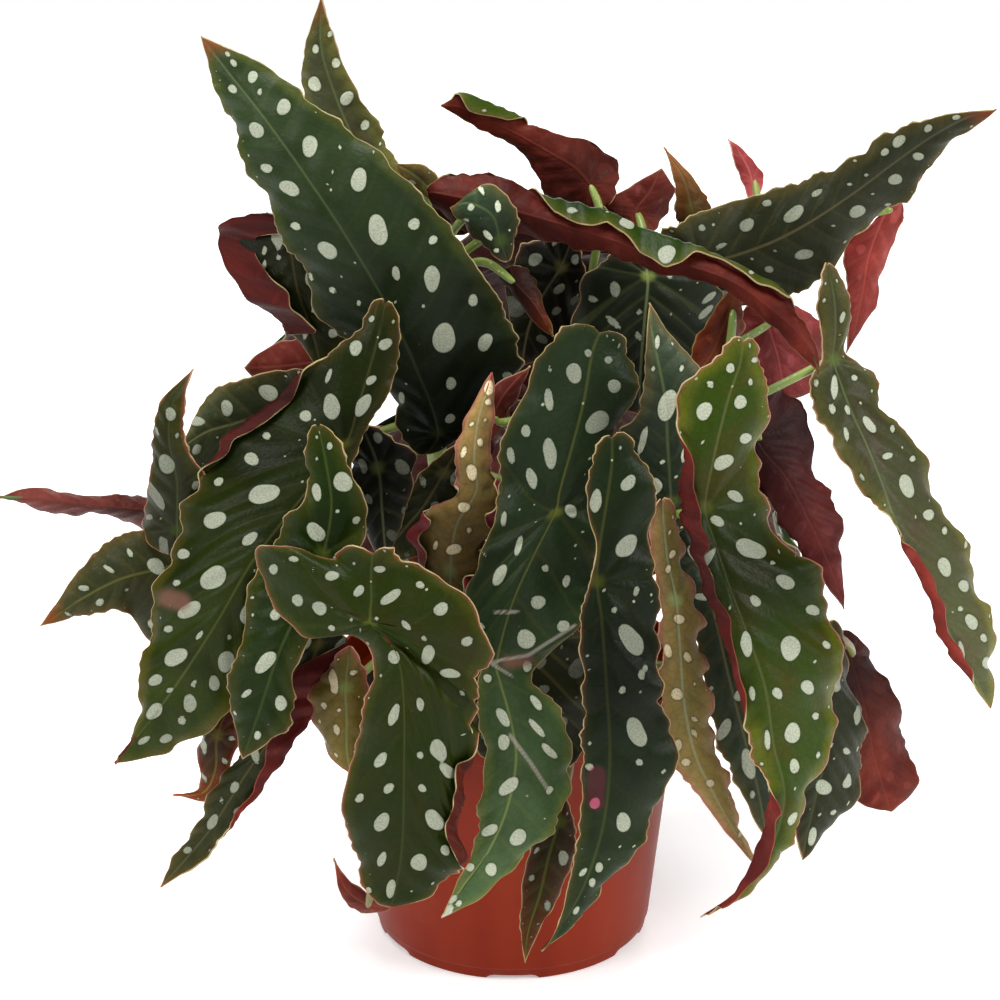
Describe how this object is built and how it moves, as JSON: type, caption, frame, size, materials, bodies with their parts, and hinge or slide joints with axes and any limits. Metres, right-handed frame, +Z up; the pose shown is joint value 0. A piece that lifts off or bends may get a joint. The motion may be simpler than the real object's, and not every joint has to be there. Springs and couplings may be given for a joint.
{
  "type": "potted polka dot begonia",
  "caption": "Bushy cane begonia with long, waved, white-spotted leaves that are wine-red beneath, growing in a round tapered plastic grower's pot.",
  "frame": {"origin": "On the pot's axis, at the flat base that it stands on", "axes": "+Z up along the pot's axis; -Y is the plant's front, as the picture shows it; +X to the right seen from the front"},
  "size_m": [0.3608, 0.2777, 0.3548],
  "materials": {
    "pot": "satin",
    "soil": "matte",
    "stem": "satin",
    "leaf_dark": "satin",
    "leaf_green": "satin",
    "leaf_margin": "satin",
    "leaf_olive": "satin",
    "leaf_teal": "satin",
    "leaf_grey": "satin",
    "leaf_yellow": "satin",
    "leaf_gold": "satin",
    "leaf_brown": "satin",
    "leaf_night": "satin",
    "leaf_underside": "satin"
  },
  "bodies": {
    "root": {"pot": "pot", "soil": "soil", "cane_left": "stem", "cane_front": "stem", "cane_right": "stem", "cane_back_left": "stem", "cane_back_right": "stem", "upper_left": "leaf_dark", "top_left_back": "leaf_olive", "left_long": "leaf_green", "left_inner": "leaf_green", "front_left": "leaf_margin", "crumpled_gold": "leaf_gold", "lower_left_long": "leaf_dark", "left_brown": "leaf_brown", "left_point": "leaf_grey", "far_left": "leaf_underside", "left_upright": "leaf_olive", "left_back_dark": "leaf_dark", "left_back_red": "leaf_underside", "left_burgundy": "leaf_dark", "top_olive": "leaf_olive", "top_long_red": "leaf_underside", "top_red": "leaf_underside", "upper_right": "leaf_dark", "back_dark_left": "leaf_night", "back_dark_right": "leaf_night", "small_curled": "leaf_grey", "maroon_curl": "leaf_underside", "top_red_middle": "leaf_underside", "top_gold_point": "leaf_gold", "top_pink": "leaf_underside", "right_red_hanging": "leaf_underside", "right_drooping": "leaf_olive", "right_dark_red": "leaf_underside", "right_centre": "leaf_yellow", "front_centre": "leaf_teal", "centre": "leaf_teal", "lower_brown": "leaf_brown", "gold_right": "leaf_gold", "dark_right_inner": "leaf_teal", "right_lower_dark": "leaf_grey", "right_lower_red": "leaf_underside", "gold_centre": "leaf_gold", "pink_centre": "leaf_underside", "inner_centre": "leaf_night", "dark_centre_left": "leaf_dark", "inner_left_dark": "leaf_night", "pointed_centre": "leaf_grey", "back_pink_right": "leaf_underside", "back_maroon_right": "leaf_underside", "low_left_curl": "leaf_underside", "back_leaf_a": "leaf_dark", "back_leaf_b": "leaf_dark", "back_leaf_c": "leaf_dark", "back_leaf_d": "leaf_dark", "back_leaf_e": "leaf_dark", "back_leaf_f": "leaf_dark", "back_leaf_g": "leaf_dark", "back_leaf_h": "leaf_dark"}
  },
  "joints": []
}
